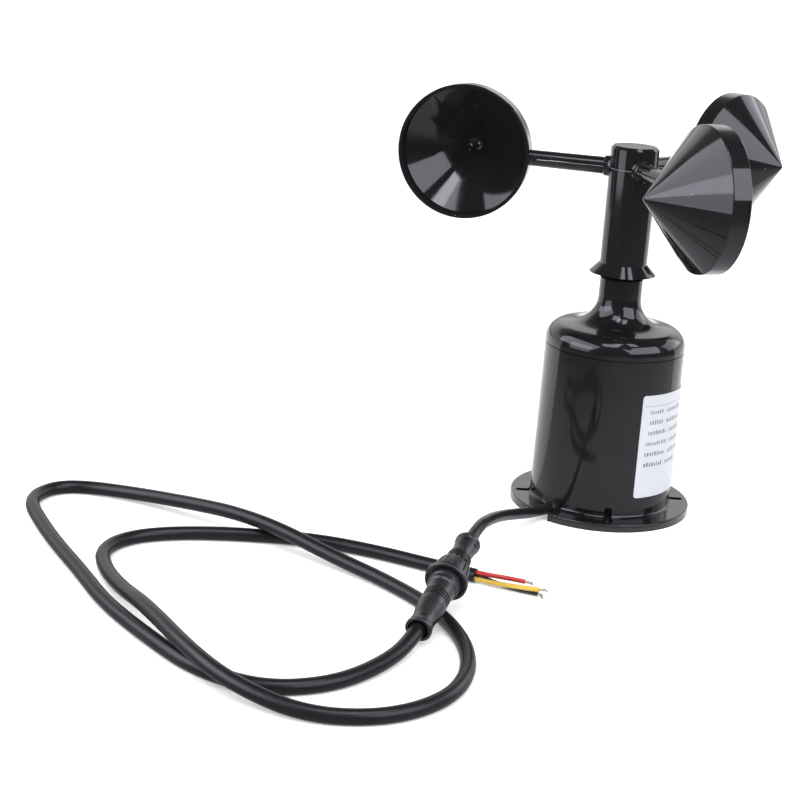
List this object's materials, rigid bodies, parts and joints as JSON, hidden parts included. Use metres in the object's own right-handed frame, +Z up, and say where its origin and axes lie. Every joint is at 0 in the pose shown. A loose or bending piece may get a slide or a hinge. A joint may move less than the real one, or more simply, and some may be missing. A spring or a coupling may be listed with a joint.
{
  "type": "cup anemometer",
  "caption": "Wind speed sensor: three conical cups on a spinning hub above a round flanged housing, with a cable, inline connector and bare cable end.",
  "frame": {"origin": "centre of the foot flange's underside, on the rotor axis", "axes": "+Z up along the rotor axis, +X through one flange slot, -Y through the next slot, towards the front"},
  "size_m": [0.3361, 0.3254, 0.1878],
  "materials": {
    "housing_plastic": "moulded black ABS, semi-gloss",
    "rotor_plastic": "moulded black ABS, gloss",
    "connector_plastic": "moulded black nylon, satin",
    "cable_jacket": "extruded black PVC, satin",
    "label_film": "printed polyester film",
    "seal_rubber": "black nitrile rubber",
    "bearing_steel": "ground bearing steel",
    "stainless_steel": "stainless steel",
    "brass_contact": "plated brass",
    "cage_steel": "pressed steel",
    "magnet_nickel": "nickel plated",
    "board_laminate": "green solder mask",
    "chip_epoxy": "black epoxy",
    "terminal_plastic": "green terminal block plastic",
    "core_red": "red PVC insulation",
    "core_yellow": "yellow PVC insulation",
    "core_black": "black PVC insulation",
    "tinned_copper": "tinned copper strands"
  },
  "bodies": {
    "root": {"base_plate": "housing_plastic", "base_screws": "stainless_steel", "base_seal": "seal_rubber", "bearing_circlip": "stainless_steel", "bearing_spacer": "stainless_steel", "board_components": "chip_epoxy", "board_screws": "stainless_steel", "body_shell": "housing_plastic", "cable_grommet": "seal_rubber", "circuit_board": "board_laminate", "connector_female_body": "connector_plastic", "connector_male_body": "connector_plastic", "connector_pins": "brass_contact", "connector_seal": "seal_rubber", "connector_sockets": "brass_contact", "dome_cover": "housing_plastic", "dome_screws": "stainless_steel", "extension_cable": "cable_jacket", "hall_sensor": "chip_epoxy", "housing_seal": "seal_rubber", "inner_lead_1": "core_red", "inner_lead_2": "core_black", "inner_lead_3": "core_yellow", "lower_bearing_outer_race": "bearing_steel", "nameplate": "label_film", "pigtail_cable": "cable_jacket", "terminal_block": "terminal_plastic", "upper_bearing_outer_race": "bearing_steel", "wire_black": "core_black", "wire_red": "core_red", "wire_tips": "tinned_copper", "wire_yellow": "core_yellow"},
    "rotor": {"spindle": "stainless_steel", "spindle_clip": "stainless_steel", "lower_bearing_inner_race": "bearing_steel", "upper_bearing_inner_race": "bearing_steel", "rotor_hub": "rotor_plastic", "hub_cap": "rotor_plastic", "hub_washer": "stainless_steel", "hub_nut": "stainless_steel", "cup_arm_1": "rotor_plastic", "cup_arm_2": "rotor_plastic", "cup_arm_3": "rotor_plastic", "magnet_carrier": "rotor_plastic", "magnets": "magnet_nickel", "carrier_screw": "stainless_steel"},
    "lower_cage": {"lower_bearing_cage": "cage_steel"},
    "upper_cage": {"upper_bearing_cage": "cage_steel"},
    "coupling_nut": {"coupling_nut": "connector_plastic"}
  },
  "joints": [
    {"name": "rotor_spin", "type": "hinge", "parent": "root", "child": "rotor", "pos_m": [0, 0, 0.1], "axis": [0, 0, 1], "continuous": true},
    {"name": "lower_cage_spin", "type": "hinge", "parent": "root", "child": "lower_cage", "pos_m": [0, 0, 0.0865], "axis": [0, 0, 1], "continuous": true},
    {"name": "upper_cage_spin", "type": "hinge", "parent": "root", "child": "upper_cage", "pos_m": [0, 0, 0.1039], "axis": [0, 0, 1], "continuous": true},
    {"name": "coupling_nut_turn", "type": "hinge", "parent": "root", "child": "coupling_nut", "pos_m": [-0.07667, -0.14253, 0.01563], "axis": [-0.3278, -0.9178, -0.2239], "continuous": true}
  ],
  "couplings": [
    {"joint": "lower_cage_spin", "follows": "rotor_spin", "ratio": 0.36905},
    {"joint": "upper_cage_spin", "follows": "rotor_spin", "ratio": 0.36905}
  ]
}
